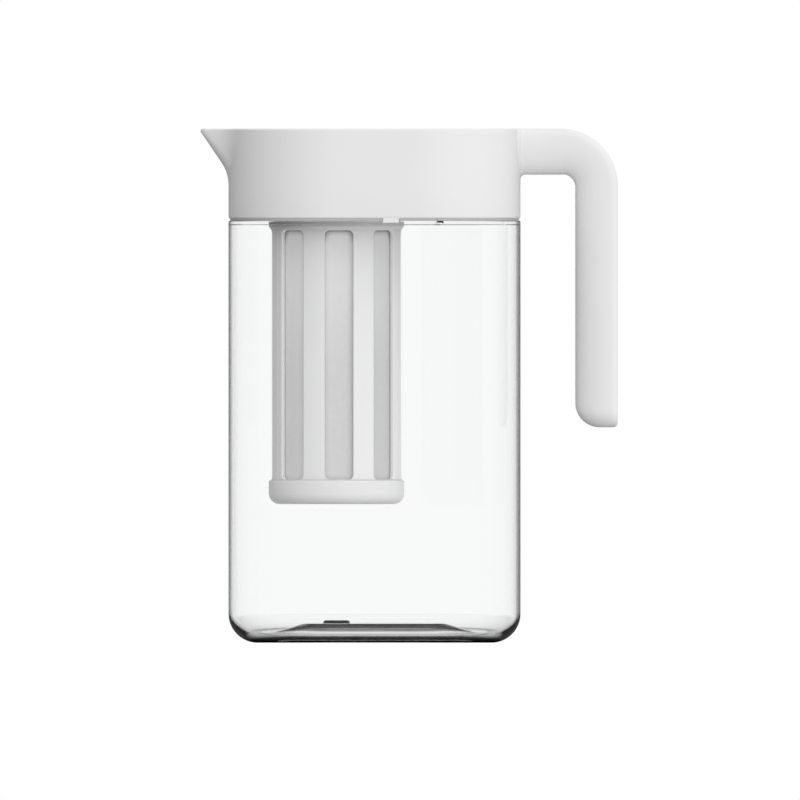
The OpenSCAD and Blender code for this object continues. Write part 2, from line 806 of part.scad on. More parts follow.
// Plan of the flap, which follows the spout's channel
module flap_plan() {
    intersection() {
        polygon(spout_ring(flap_z, spout_wall + flap_gap, flap_x));
        translate([-2 * wall_x, -flap_barrel / 2]) square([2 * wall_x, flap_barrel]);
    }
}

// Cover plate that closes the collar, with the seat of the door, both hinges and a ring that plugs
// into the hopper
module cover() {
    edge = 0.8;
    scoop_r = 12;
    scoop_depth = 2.8;
    scoop_step = 1;
    groove = seal_gap + seal_back_gap + seal_depth;
    plug_front = front_in + seat_gap;
    opening = door_width / 2 - door_ledge;
    hinge_half = hinge_width / 2 + hinge_side_gap;
    notch_half = flap_barrel / 2 + flap_gap;
    notch_x = flap_x + flap_r + flap_back_gap;
    section = concat(
        [[0, plate_z], [cover_r, plate_z]],
        arc([cover_r - edge, cover_top - edge], edge, 0, 90, 3),
        [[0, cover_top]]
    );
    color("white") difference() {
        union() {
            stadium_sweep(section);
            slab(hopper_top, plate_z + over)
                basin_ring(hopper_high, front_out, plug_r - plug_wall, plug_front + plug_wall);
            slab(hopper_top - cover_plug, plate_z + over)
                basin_ring(plug_r, plug_front, plug_r - plug_wall, plug_front + plug_wall);
        }
        slab(seal_z, seal_z + cover_seal_height + 2 * seal_gap)
            basin_ring(body_r, front_out, basin_r - groove, front_in + groove);
        // Fill opening, the recess that the door lies in, and the scoop for a finger at its front
        slab(plate_z - over, cover_top + over) rounded_rect(
            door_front + door_ledge, door_rear - door_ledge, opening, door_corner - door_ledge);
        slab(door_z, cover_top + over) rounded_rect(door_front - door_gap, door_rear + door_swing,
            door_width / 2 + door_gap, door_corner + door_gap);
        translate([door_front - scoop_step, 0, cover_top + scoop_r - scoop_depth]) sphere(scoop_r);
        // Hinge of the door
        translate([door_rear - door_ledge, -hinge_half, plate_z - over])
            cube([hinge_neck + door_ledge + pocket_behind, 2 * hinge_half, cover_plate + 2 * over]);
        pin_seat(hinge_x, hinge_z, door_pin_diameter, door_pin_length);
        // Notch and hinge of the flap
        translate([-wall_x, -notch_half, plate_z - over])
            cube([wall_x + notch_x, 2 * notch_half, cover_plate + 2 * over]);
        pin_seat(flap_x, flap_axis_z, flap_pin_diameter, flap_pin_length);
    }
}

// Seal round the cover's plug
module cover_seal() {
    inner = seal_gap + seal_depth;
    color("dimgray") slab(seal_z + seal_gap, seal_z + seal_gap + cover_seal_height)
        basin_ring(basin_r - seal_gap, front_in + seal_gap, basin_r - inner, front_in + inner);
}

module door_pin() {
    color("silver") cross_pin(hinge_x, hinge_z, door_pin_diameter / 2, door_pin_length);
}

module flap_pin() {
    color("silver") cross_pin(flap_x, flap_axis_z, flap_pin_diameter / 2, flap_pin_length);
}

// Door over the fill opening, with a rim that centres it and a barrel round its pin
module fill_door() {
    rim_gap = 0.6;
    rim_wall = 1.4;
    rim_depth = 2;
    inset = door_ledge + rim_gap;
    half = door_width / 2;
    color("white") difference() {
        union() {
            slab(door_z, cover_top) rounded_rect(door_front, door_rear, half, door_corner);
            slab(door_z - rim_depth, door_z + over) difference() {
                rounded_rect(door_front + inset, door_rear - inset, half - inset, door_corner - inset);
                rounded_rect(door_front + inset + rim_wall, door_rear - inset - rim_wall,
                    half - inset - rim_wall, door_corner - inset - rim_wall);
            }
            translate([door_rear - over, -hinge_width / 2, door_z])
                cube([hinge_neck + over, hinge_width, cover_top - door_z]);
            cross_pin(hinge_x, hinge_z, hinge_r, hinge_width);
        }
        cross_pin(hinge_x, hinge_z, door_pin_diameter / 2 + pin_gap, hinge_width + 2 * over);
    }
}

// Flap over the spout's channel, which the water lifts
module spout_flap() {
    color("white") difference() {
        union() {
            slab(flap_z, cover_top) flap_plan();
            cross_pin(flap_x, flap_axis_z, flap_r, flap_barrel);
        }
        cross_pin(flap_x, flap_axis_z, flap_pin_diameter / 2 + pin_gap, flap_barrel + 2 * over);
    }
}

vessel();
collar();
collar_gasket();
hopper();
hopper_seal();
cage_seal();
filter_cage();
cage_cap();
cartridge_top_cap();
cartridge_bottom_cap();
cartridge_core();
carbon_block();
media_wrap();
cartridge_seal();
cover();
cover_seal();
door_pin();
flap_pin();
fill_door();
spout_flap();
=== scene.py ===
"""Looks of the water filter pitcher: clear vessel, satin white mouldings, filter behind windows."""
import json
import math

import bmesh
import bpy
from mathutils import Matrix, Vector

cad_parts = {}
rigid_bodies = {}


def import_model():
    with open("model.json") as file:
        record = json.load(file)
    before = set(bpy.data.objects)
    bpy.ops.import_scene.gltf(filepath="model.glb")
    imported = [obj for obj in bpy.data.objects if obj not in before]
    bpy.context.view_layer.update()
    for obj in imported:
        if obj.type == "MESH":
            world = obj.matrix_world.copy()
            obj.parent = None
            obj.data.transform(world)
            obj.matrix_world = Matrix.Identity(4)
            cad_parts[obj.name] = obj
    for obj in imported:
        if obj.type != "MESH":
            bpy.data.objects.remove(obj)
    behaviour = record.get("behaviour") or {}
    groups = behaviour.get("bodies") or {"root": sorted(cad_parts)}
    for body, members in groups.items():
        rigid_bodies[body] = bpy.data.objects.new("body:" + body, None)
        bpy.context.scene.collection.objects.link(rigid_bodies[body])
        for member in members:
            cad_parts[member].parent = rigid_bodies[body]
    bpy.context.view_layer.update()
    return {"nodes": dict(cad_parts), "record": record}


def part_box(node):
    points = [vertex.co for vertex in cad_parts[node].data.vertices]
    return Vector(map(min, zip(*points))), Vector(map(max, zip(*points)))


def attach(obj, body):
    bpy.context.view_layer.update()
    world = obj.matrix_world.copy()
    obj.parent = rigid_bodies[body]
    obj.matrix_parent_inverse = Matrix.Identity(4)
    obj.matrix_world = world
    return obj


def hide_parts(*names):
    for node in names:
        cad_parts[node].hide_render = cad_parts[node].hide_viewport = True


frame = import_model()

# Shapes are drawn in millimetres and scaled once, when a piece is finished
MM = 0.001
# Points closer than this are one point, in a drawn shape and in a copy of a node
MERGE = 0.002
COPY_MERGE = 0.004
# Faces of a copied node that turn less than this from each other are one flat face
FLAT_ANGLE = math.radians(0.3)
# Cutters and joined shapes reach this far past the faces that they meet
OVER = 1


def corners(node):
    """Lowest and highest corner of a node, in millimetres."""
    return [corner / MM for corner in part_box(node)]


# Corners of the nodes that are drawn anew
vessel_high = corners("vessel")[1]
collar_high = corners("collar")[1]
cage_low, cage_high = corners("filter_cage")
cap_low, cap_high = corners("cage_cap")
wrap_low, wrap_high = corners("media_wrap")

# Body plan: two half circles joined by straight sides, with the filter on the axis of the spout's end
BODY_R = vessel_high.y
SPINE = 19
FILTER_X = -SPINE
WALL_X = SPINE + BODY_R

# Levels
RIM_Z = collar_high.z
NECK_TOP = vessel_high.z
SEAM_Z = 212
SHOULDER_Z = 211
BEAD_Z = 219.5

# Vessel
VESSEL_NAME = "clear_vessel"
VESSEL_WALL = 3
VESSEL_IN = BODY_R - VESSEL_WALL
BASE_CORNER = 14.5
INNER_CORNER = 11.5
FLOOR_EDGE = 3
PLATEAU = 8.4
FLOOR_RIM = 8.5
FLOOR_SLOPE = 17
FOOT_WIDTH = 9
RECESS_DEPTH = 5.4
RECESS_R = 13
SHOULDER_ROUND = 0.5
NECK_OUT = 50.2
NECK_IN = 47.7
NECK_ROUND = 0.5
LEDGE_Z = 209
LEDGE_ROUND = 0.02
# Walls have a point this close to each round, so that smooth shading leaves them flat
SUPPORT = 0.4
# Bead round the neck: how far it stands out, and half its height at its foot and at its crest
BEAD = 0.8
BEAD_FOOT = 1.6
BEAD_CREST = 0.48
# Boss on the floor
BOSS_R = 6.75
BOSS_TOP = 10.4
BOSS_EDGE = 1.6
# Notches in the shoulder, for the collar's keys and the gasket's tabs
NOTCH_Z = 209.7
NOTCH_DEPTH = 2.6
KEY_X = 8.2
KEY_LENGTH = 8
KEY_FACE = 0.3
KEY_THICKNESS = 1.7
KEY_DEPTH = 2
KEY_GAP = 0.3
TAB_WIDTH = 2.6
TAB_ANGLE = 15
# The gasket's tabs are black below this height
TAB_TOP = SHOULDER_Z - 0.05

# Collar, spout and handle
COLLAR_IN = 50.5
RIM_ROUND = 1
SEAM_ROUND = 1.2
SPOUT_REACH = 14
SPOUT_HALF_ANGLE = math.radians(31)
SPOUT_LEAN = math.radians(34)
SPOUT_BLEND = 20
SPOUT_CREASE = 9
SPOUT_WALL = 2.2
NOSE_R = 5
NOSE_ROOT_R = 16
NOSE_LEAST_R = 0.3
# Points of a ring on each side of the spout's middle, and the share of even spacing among them; the rest
# crowds them towards the middle
RING_STEPS = 56
RING_EVEN = 0.12
LIP_HEIGHT = 1.4
ARM_THICKNESS = 23
GRIP_THICKNESS = 21.2
HANDLE_HALF = 12
HANDLE_ROOT = 2
BEND_R = 28.5
GRIP_X = collar_high.x
HANDLE_END = 107.7
WIDEST_DEPTH = 3.8
HANDLE_EDGE = 2.2
END_INNER_R = 12.2
END_OUTER_R = 2.2
END_SIDE_R = 8
ARM_FILLET = 2.4
# Share of the arm's fillet that goes sideways
FILLET_SIDE = 0.6
# In the rounded end, the most that the widest line takes of the depth and the soft edge of the half width
WIDEST_SHARE = 0.4
EDGE_SHARE = 0.6
BEND_STEPS = 30
END_STEPS = 12

# Filter cage and its cap
CAGE_R = 32.9
CAGE_IN = 30.7
CAGE_BEVEL = 1
CAGE_SOFTNESS = 0.35
BAND_R = 33.9
# Heights between which the cage widens to its band
BAND_BLEND = (206.6, 208.4)
FLANGE_R = 35.8
LUG_R = 37.5
LUG_ANGLE = 30
LUG_STEPS = 10
LUGS = 3
# Underside of the flange, a hair above its seal
SEAT_Z = 222.73
SPIGOT_R = 31.9
CAP_TOP = cap_high.z
CAP_EDGE = 5.5
CAP_RIM = 1
CAP_BORE = 32.1
CAP_FLOOR = 2.5
WINDOWS = 8
WINDOW_WIDTH = 14.24
WINDOW_CORNER = 2.4
WINDOW_Z = (81.6, 206.2)
WINDOW_TURN = 2.3
# Cutters of the windows: how far inside the wall they start, and their length
CUT_START = 4
CUT_LENGTH = 10
# Painted shade on the cage's outer face: its reach close under the collar, the depths below the outer face
# between which it ends, the heights between which the band is painted darker still, and how much from one
# place along x to another
PAINTED_SHADE_REACH = 20
SHADED_SKIN = (0.08, 0.03)
BAND_RISE = (205, 208.5)
BAND_SPAN = (-52, -25)
BAND_SHADE = (0.55, 0.16)

# Fleece: how far it stands out past its node, its thickness and lower edge, and its lap over the top cap
FLEECE_NAP = 0.4
FLEECE_THICKNESS = 3.3
FLEECE_EDGE = 0.8
FLEECE_LAP = 1.4
LAP_EDGE = 0.12
# Tones of its mottle where it is darkest and palest; painted light makes it paler upwards and towards the
# spout
FLEECE_DARK = (0.54, 0.66)
FLEECE_PALE = (0.92, 1.0)
PAINTED_LIGHT_RISE = (130, 210)
PAINTED_LIGHT_SPAN = (-50, 12)
# Painted shade in the windows' corners: its reach, and its share from low down to under their top edges
FLEECE_PAINTED_SHADE_REACH = 3
CORNER_RISE = (198, 206)
CORNER_SHADE = (0.18, 1.0)
# The painted shadow line under the top edges: the heights between which it darkens, and how much
TOP_RISE = (205.2, 206.1)
PAINTED_TOP_SHADOW = 0.42

# The photograph's frame: millimetres on the object for each pixel, and the pixel of the origin
PIXEL = 0.5
FRAME_SIDE = 800
ORIGIN_PX = (374.5, 642.7)
CAMERA_DISTANCE = 2000


# Drawing and shaping


def oval_arc(centre, rx, ry, start, end, steps):
    """Points on an arc of an oval, angles in degrees."""
    turns = [math.radians(start + (end - start) * i / steps) for i in range(steps + 1)]
    return [(centre[0] + rx * math.cos(q), centre[1] + ry * math.sin(q)) for q in turns]


def arc(centre, r, start, end, steps):
    """Points on an arc of a circle, angles in degrees."""
    return oval_arc(centre, r, r, start, end, steps)


def s_curve(p, q, steps):
    """S-curve that leaves p and reaches q along the first axis."""
    points = []
    for i in range(steps + 1):
        t = i / steps
        swing = (1 - math.cos(math.pi * t)) / 2
        points.append((p[0] + (q[0] - p[0]) * t, p[1] + (q[1] - p[1]) * swing))
    return points


def s_curve_upright(p, q, steps):
    """The same curve, leaving and arriving along the second axis."""
    return [(b, a) for a, b in s_curve((p[1], p[0]), (q[1], q[0]), steps)]


def chain(bm, points, loop=False):
    """Edges through points in space."""
    verts = [bm.verts.new(p) for p in points]
    following = verts[1:] + verts[:1] if loop else verts[1:]
    edges = [bm.edges.new(pair) for pair in zip(verts, following)]
    return verts, edges


def closed(bm):
    """Merges doubled points and turns the faces outwards."""
    bmesh.ops.remove_doubles(bm, verts=bm.verts, dist=MERGE)
    bmesh.ops.recalc_face_normals(bm, faces=bm.faces)
    return bm


def sweep_body(section, loop=False, steps=64):
    """Carries a section of radius and height round the whole body plan."""
    bm = bmesh.new()
    verts, edges = chain(bm, [(SPINE, -r, z) for r, z in section], loop)
    for end in (SPINE, -SPINE):
        spun = bmesh.ops.spin(bm, geom=verts + edges, cent=(end, 0, 0), axis=(0, 0, 1),
                              angle=math.pi, steps=steps)
        last = [e for e in spun["geom_last"] if isinstance(e, bmesh.types.BMEdge)]
        grown = bmesh.ops.extrude_edge_only(bm, edges=last)["geom"]
        verts = [v for v in grown if isinstance(v, bmesh.types.BMVert)]
        new = set(verts)
        edges = [e for e in grown if isinstance(e, bmesh.types.BMEdge) and new.issuperset(e.verts)]
        bmesh.ops.translate(bm, verts=verts, vec=(-2 * end, 0, 0))
    return closed(bm)


def spin_piece(section, loop=False, steps=96):
    """Full turn of a section of radius and height round the filter's axis."""
    bm = bmesh.new()
    verts, edges = chain(bm, [(FILTER_X, -r, z) for r, z in section], loop)
    bmesh.ops.spin(bm, geom=verts + edges, cent=(FILTER_X, 0, 0), axis=(0, 0, 1), angle=2 * math.pi,
                   steps=steps, use_merge=True)
    return closed(bm)


def loft(rings, tube=False):
    """Skin over a row of closed rings, with caps unless the row itself closes."""
    bm = bmesh.new()
    loops = [chain(bm, ring, loop=True)[1] for ring in rings]
    following = loops[1:] + loops[:1] if tube else loops[1:]
    for one, other in zip(loops, following):
        bmesh.ops.bridge_loops(bm, edges=one + other)
    if not tube:
        for end in (loops[0], loops[-1]):
            bmesh.ops.edgeloop_fill(bm, edges=end)
    bmesh.ops.recalc_face_normals(bm, faces=bm.faces)
    return bm


def block(low, high):
    """Box between two corners."""
    bm = bmesh.new()
    bmesh.ops.create_cube(bm, size=1)
    size = [b - a for a, b in zip(low, high)]
    bmesh.ops.scale(bm, verts=bm.verts, vec=size)
    bmesh.ops.translate(bm, verts=bm.verts, vec=[(a + b) / 2 for a, b in zip(low, high)])
    return bm


def piece_from(bm, name):
    """Object with the mesh of bm, linked to the scene."""
    mesh = bpy.data.meshes.new(name)
    bm.to_mesh(mesh)
    bm.free()
    piece = bpy.data.objects.new(name, mesh)
    bpy.context.scene.collection.objects.link(piece)
    return piece


def settle(piece):
    """Applies a piece's modifiers to its mesh."""
    graph = bpy.context.evaluated_depsgraph_get()
    done = bpy.data.meshes.new_from_object(piece.evaluated_get(graph))
    piece.modifiers.clear()
    piece.data = done


def carve(piece, operation, *tools):
    """Joins shapes to a piece, or cuts them away."""
    for bm in tools:
        tool = piece_from(bm, "tool")
        cut = piece.modifiers.new("cut", "BOOLEAN")
        cut.operation = operation
        cut.solver = "EXACT"
        cut.object = tool
        settle(piece)
        bpy.data.objects.remove(tool)


def soften(piece, width, angle=40, segments=2):
    """Rounds a piece's edges that are sharper than angle, keeping flat faces flat."""
    bevel = piece.modifiers.new("soft_edges", "BEVEL")
    bevel.width = width * MM
    bevel.segments = segments
    bevel.limit_method = "ANGLE"
    bevel.angle_limit = math.radians(angle)
    bevel.use_clamp_overlap = False
    bevel.loop_slide = False
    bevel.face_strength_mode = "FSTR_AFFECTED"
    bevel.miter_outer = "MITER_ARC"
    flat = piece.modifiers.new("flat_faces", "WEIGHTED_NORMAL")
    flat.keep_sharp = True
    flat.use_face_influence = True


def dress(piece, node, material, smooth=32):
    """Makes a piece stand for a node: real size, smooth shading, finish and body."""
    mesh = piece.data
    mesh.transform(Matrix.Scale(MM, 4))
    mesh.materials.clear()
    mesh.materials.append(material)
    mesh.shade_smooth()
    mesh.set_sharp_from_angle(angle=math.radians(smooth))
    record = frame["record"]
    bodies = record["behaviour"]["bodies"]
    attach(piece, next(body for body, nodes in bodies.items() if node in nodes))
    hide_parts(node)
    return piece


def moulded_copy(node):
    """Copy of a node's mesh in millimetres, with its flat faces joined as far as they stay convex."""
    bm = bmesh.new()
    bm.from_mesh(frame["nodes"][node].data)
    bmesh.ops.scale(bm, verts=bm.verts, vec=(1 / MM,) * 3)
    bmesh.ops.remove_doubles(bm, verts=bm.verts, dist=COPY_MERGE)
    bmesh.ops.dissolve_limit(bm, angle_limit=FLAT_ANGLE, verts=bm.verts, edges=bm.edges)
    bmesh.ops.connect_verts_concave(bm, faces=bm.faces)
    return piece_from(bm, "moulded_" + node)


# Materials


def add(tree, kind, links=None, **settings):
    """New node with its sockets and properties set, and sockets linked from other nodes' outputs."""
    node = tree.nodes.new(kind)
    for key, value in settings.items():
        if key in node.inputs:
            node.inputs[key].default_value = value
        else:
            setattr(node, key, value)
    for socket, source in (links or {}).items():
        tree.links.new(source, node.inputs[socket])
    return node


def new_group(name, inputs, outputs):
    """Empty node group with named sockets, its input node and its output node."""
    group = bpy.data.node_groups.new(name, "ShaderNodeTree")
    for way, sockets in (("INPUT", inputs), ("OUTPUT", outputs)):
        for socket, kind in sockets.items():
            group.interface.new_socket(socket, in_out=way, socket_type="NodeSocket" + kind)
    return group, add(group, "NodeGroupInput").outputs, add(group, "NodeGroupOutput").inputs


def feed(tree, socket, value):
    """Sets a socket to a value, or links it from an output."""
    if isinstance(value, bpy.types.NodeSocket):
        tree.links.new(value, socket)
    else:
        socket.default_value = value


def mixed(tree, factor, a, b):
    """Colour between a and b, each a colour or an output."""
    mix = add(tree, "ShaderNodeMix", {"Factor": factor}, data_type="RGBA")
    feed(tree, mix.inputs[6], a)
    feed(tree, mix.inputs[7], b)
    return mix.outputs[2]


def mixed_value(tree, factor, a, b):
    """Value between a and b, each a number or an output."""
    mix = add(tree, "ShaderNodeMix", {"Factor": factor}, data_type="FLOAT")
    feed(tree, mix.inputs[2], a)
    feed(tree, mix.inputs[3], b)
    return mix.outputs[0]


def arithmetic(tree, operation, *terms):
    """Result of a Math node whose terms are numbers or outputs."""
    node = add(tree, "ShaderNodeMath", operation=operation)
    for socket, term in zip(node.inputs, terms):
        feed(tree, socket, term)
    return node.outputs[0]


def rising(tree, value, span, start=0.0, end=1.0):
    """Value eased from start to end over a span."""
    node = add(tree, "ShaderNodeMapRange", {"Value": value}, interpolation_type="SMOOTHSTEP")
    for socket, number in zip(("From Min", "From Max", "To Min", "To Max"), (*span, start, end)):
        node.inputs[socket].default_value = number
    return node.outputs["Result"]


def rising_mm(tree, length, span, start=0.0, end=1.0):
    """The same over a span in millimetres."""
    return rising(tree, length, [edge * MM for edge in span], start, end)


def spread(tree, value, start, end):
    """Value from nought to one, spread evenly from start to end."""
    node = add(tree, "ShaderNodeMapRange", {"Value": value})
    node.inputs["To Min"].default_value = start
    node.inputs["To Max"].default_value = end
    return node.outputs["Result"]


def object_place(tree):
    """Place on the object, in its own coordinates."""
    return add(tree, "ShaderNodeTexCoord").outputs["Object"]


def axes_of(tree, place):
    """The X, Y and Z of a place."""
    return add(tree, "ShaderNodeSeparateXYZ", {0: place}).outputs


def distance(tree, x, y):
    """Length of the way x along one axis and y along the other."""
    square = arithmetic(tree, "MULTIPLY", y, y)
    return arithmetic(tree, "SQRT", arithmetic(tree, "MULTIPLY_ADD", x, x, square))


def noise(tree, place, **settings):
    """Noise at a place, from nought to one."""
    return add(tree, "ShaderNodeTexNoise", {"Vector": place}, **settings).outputs["Fac"]


def painted_occlusion(tree, colour, reach):
    """Colour with painted shade where other surfaces are closer than reach."""
    shelter = add(tree, "ShaderNodeAmbientOcclusion", {"Color": colour}, Distance=reach * MM)
    return shelter.outputs["Color"]


def moulded_grain():
    """Group for moulded plastic: slow drift of tone, uneven gloss and a fine eroded grain."""
    group, given, out = new_group(
        "moulded_grain",
        {"Vector": "Vector", "Light": "Color", "Shade": "Color", "Gloss": "Float",
         "Gloss Spread": "Float", "Grain Scale": "Float"},
        {"Color": "Color", "Roughness": "Float", "Height": "Float"})
    drift = noise(group, given["Vector"], Scale=26.0, Detail=2.0)
    grain = add(group, "ShaderNodeTexNoise", {"Vector": given["Vector"], "Scale": given["Grain Scale"]},
                Detail=2.0, Roughness=0.6).outputs["Fac"]
    tone = mixed(group, drift, given["Light"], given["Shade"])
    centred = arithmetic(group, "SUBTRACT", grain, 0.5)
    gloss = arithmetic(group, "MULTIPLY_ADD", centred, given["Gloss Spread"], given["Gloss"])
    for socket, source in (("Color", tone), ("Roughness", gloss), ("Height", grain)):
        group.links.new(source, out[socket])
    return group


GRAIN = moulded_grain()
GRAIN_DEPTH = 0.04


def grey(value):
    """Grey as a colour."""
    return (value, value, value, 1)


def principled(name):
    """New material with its tree, its shader and the object's own coordinates."""
    material = bpy.data.materials.new(name)
    material.use_nodes = True
    tree = material.node_tree
    return material, tree, tree.nodes["Principled BSDF"], object_place(tree)


def base_tone(material):
    """A material's tree, the colour socket of its shader, and the output that feeds it."""
    tree = material.node_tree
    socket = tree.nodes["Principled BSDF"].inputs["Base Color"]
    return tree, socket, socket.links[0].from_socket


def set_shader(shader, **values):
    """Sets a shader's sockets by name, written with underscores for spaces."""
    for key, value in values.items():
        shader.inputs[key.replace("_", " ")].default_value = value


def bumped(tree, shader, height, strength, depth):
    """Feeds a height into the shader's normal, with its depth in millimetres."""
    bump = add(tree, "ShaderNodeBump", {"Height": height}, Strength=strength, Distance=depth * MM)
    tree.links.new(bump.outputs["Normal"], shader.inputs["Normal"])


def grained(name, light, shade, gloss, gloss_spread, scale, relief):
    """New material with the moulded grain, between a light and a shaded grey."""
    material, tree, shader, place = principled(name)
    grain = add(tree, "ShaderNodeGroup", {"Vector": place}, node_tree=GRAIN)
    values = {
        "Light": grey(light), "Shade": grey(shade), "Gloss": gloss, "Gloss Spread": gloss_spread,
        "Grain Scale": scale,
    }
    for key, value in values.items():
        grain.inputs[key].default_value = value
    tree.links.new(grain.outputs["Color"], shader.inputs["Base Color"])
    tree.links.new(grain.outputs["Roughness"], shader.inputs["Roughness"])
    bumped(tree, shader, grain.outputs["Height"], relief, GRAIN_DEPTH)
    return material


def satin_white(name, light, shade, gloss=0.42):
    """White plastic from an eroded mould."""
    material = grained(name, light, shade, gloss, gloss_spread=0.14, scale=2600.0, relief=0.25)
    set_shader(material.node_tree.nodes["Principled BSDF"], IOR=1.46, Specular_IOR_Level=0.25)
    return material


def moulded_rubber(name, light, shade):
    """Dull rubber or silicone."""
    return grained(name, light, shade, gloss=0.6, gloss_spread=0.15, scale=3000.0, relief=0.3)


def cage_white():
    """White plastic with painted shade on its outer face close under the collar, more on the band towards
    the spout.
    """
    material = satin_white("cage_white", 0.89, 0.87)
    tree, tone, plain = base_tone(material)
    axes = axes_of(tree, object_place(tree))
    along = arithmetic(tree, "SUBTRACT", axes["X"], FILTER_X * MM)
    skin = [CAGE_R - depth for depth in SHADED_SKIN]
    outer = rising_mm(tree, distance(tree, along, axes["Y"]), skin)
    # Painted shade on the band besides, more of it towards the spout's side
    band = rising_mm(tree, axes["Z"], BAND_RISE)
    share = rising_mm(tree, axes["X"], BAND_SPAN, *BAND_SHADE)
    shade = arithmetic(tree, "MULTIPLY", band, share)
    shaded = mixed(tree, shade, painted_occlusion(tree, plain, PAINTED_SHADE_REACH), grey(0))
    tree.links.new(mixed(tree, outer, plain, shaded), tone)
    return material


# Painted dark outlines of clear plastic: the share of light that it lets through by the slant that it is
# seen at, from straight on to edge on, on the spout's side and on the handle's side
SPOUT_RAMP = ((0.55, 1.0), (0.70, 0.95), (0.7475, 0.72), (0.786, 0.42), (0.834, 0.27), (1.0, 0.2))
HANDLE_RAMP = (
    (0.55, 1.0), (0.66, 0.92), (0.70, 0.80), (0.735, 0.32), (0.786, 0.18), (0.834, 0.15), (1.0, 0.12),
)
# Its tint: a trace more green and blue than red
CLEAR_CAST = (1, 1.003, 1.004)
# Painted dark bands in the rounded ends of the base: the middle and the reach of their inner line along x
# and z, the power of its curve, the shares of that reach between which they are painted dark, the length
# along x over which this begins, and the slants between which it is seen
END_MIDDLE = (56.2, 16.2)
END_REACH = (17, 12.9)
END_POWER = 1.6
END_BAND = (0.80, 1.06)
END_FADE = 8
END_SLANT = (0.45, 0.58)


def painted_outline_tint(tree, facing, stops):
    """Painted dark outline: tint of clear plastic by the slant that it is seen at."""
    ramp = add(tree, "ShaderNodeValToRGB", {"Fac": facing})
    elements = ramp.color_ramp.elements
    while len(elements) < len(stops):
        elements.new(0.5)
    for element, (slant, share) in zip(elements, stops):
        element.position = slant
        element.color = (*[share * cast for cast in CLEAR_CAST], 1)
    return ramp.outputs["Color"]


def painted_dark_end(tree, place, facing):
    """Mask of the painted dark band: one in the rounded ends of the base where seen at a slant, nought
    elsewhere.
    """
    axes = axes_of(tree, place)
    side = arithmetic(tree, "SUBTRACT", arithmetic(tree, "ABSOLUTE", axes["X"]), END_MIDDLE[0] * MM)
    down = arithmetic(tree, "SUBTRACT", END_MIDDLE[1] * MM, axes["Z"])
    total = 0.0
    for way, reach in zip((side, down), END_REACH):
        share = arithmetic(tree, "DIVIDE", arithmetic(tree, "MAXIMUM", way, 0.0), reach * MM)
        total = arithmetic(tree, "ADD", arithmetic(tree, "POWER", share, END_POWER), total)
    begun = rising_mm(tree, side, (0, END_FADE))
    band = arithmetic(tree, "MULTIPLY", rising(tree, total, END_BAND), begun)
    return arithmetic(tree, "MULTIPLY", band, rising(tree, facing, END_SLANT))


def clear_plastic():
    """Polished clear plastic, with dark outlines painted where its wall is seen edge on, in what the
    camera sees first.
    """
    material, tree, shader, place = principled("clear_plastic")
    haze = noise(tree, place, Scale=40.0, Detail=3.0)
    tree.links.new(spread(tree, haze, 0.0, 0.02), shader.inputs["Roughness"])
    facing = add(tree, "ShaderNodeLayerWeight", Blend=0.5).outputs["Facing"]
    side = rising_mm(tree, axes_of(tree, place)["X"], (-SPINE, SPINE))
    tint = mixed(tree, side, painted_outline_tint(tree, facing, SPOUT_RAMP), painted_outline_tint(tree, facing, HANDLE_RAMP))
    # Painted dark band in the base's rounded ends
    tint = mixed(tree, painted_dark_end(tree, place, facing), tint, grey(0))
    # The painted outlines show only on what the camera sees first
    first_seen = add(tree, "ShaderNodeLightPath").outputs["Is Camera Ray"]
    tint = mixed(tree, first_seen, grey(1), tint)
    tree.links.new(tint, shader.inputs["Base Color"])
    set_shader(shader, IOR=1.5, Transmission_Weight=1.0)
    depth = add(tree, "ShaderNodeVolumeAbsorption", Color=(0.8, 0.83, 0.84, 1), Density=22.0)
    tree.links.new(depth.outputs["Volume"], tree.nodes["Material Output"].inputs["Volume"])
    return material


def fleece():
    """Spun white fleece: upright fibres over a soft mottle; painted light makes it paler upwards and
    towards the spout, and painted shade darkens the windows' corners and draws a shadow line under their
    top edges.
    """
    material, tree, shader, place = principled("fleece")
    mottle = noise(tree, place, Scale=420.0, Detail=4.0, Roughness=0.65)
    upright = add(tree, "ShaderNodeMapping", {"Vector": place}, Scale=(1.0, 1.0, 0.12)).outputs["Vector"]
    fibres = noise(tree, upright, Scale=2200.0, Detail=3.0, Distortion=0.6)
    axes = axes_of(tree, place)
    # Painted light: paler upwards and towards the spout
    painted_light_upwards = rising_mm(tree, axes["Z"], PAINTED_LIGHT_RISE, 0.0, 0.5)
    painted_light_sideways = rising_mm(tree, axes["X"], PAINTED_LIGHT_SPAN, 0.5, 0.0)
    dark, pale = [mixed(tree, mottle, grey(a), grey(b)) for a, b in (FLEECE_DARK, FLEECE_PALE)]
    colour = mixed(tree, arithmetic(tree, "ADD", painted_light_upwards, painted_light_sideways), dark, pale)
    # Painted shade in the windows' corners, strongest under their top edges
    share = rising_mm(tree, axes["Z"], CORNER_RISE, *CORNER_SHADE)
    colour = mixed(tree, share, colour, painted_occlusion(tree, colour, FLEECE_PAINTED_SHADE_REACH))
    # Painted shadow line under the windows' top edges
    shadow = rising_mm(tree, axes["Z"], TOP_RISE, 0.0, PAINTED_TOP_SHADOW)
    tree.links.new(mixed(tree, shadow, colour, grey(0)), shader.inputs["Base Color"])
    bumped(tree, shader, arithmetic(tree, "ADD", mottle, fibres), strength=0.4, depth=0.2)
    set_shader(shader, Roughness=0.9, Specular_IOR_Level=0.2, Sheen_Weight=0.15)
    return material


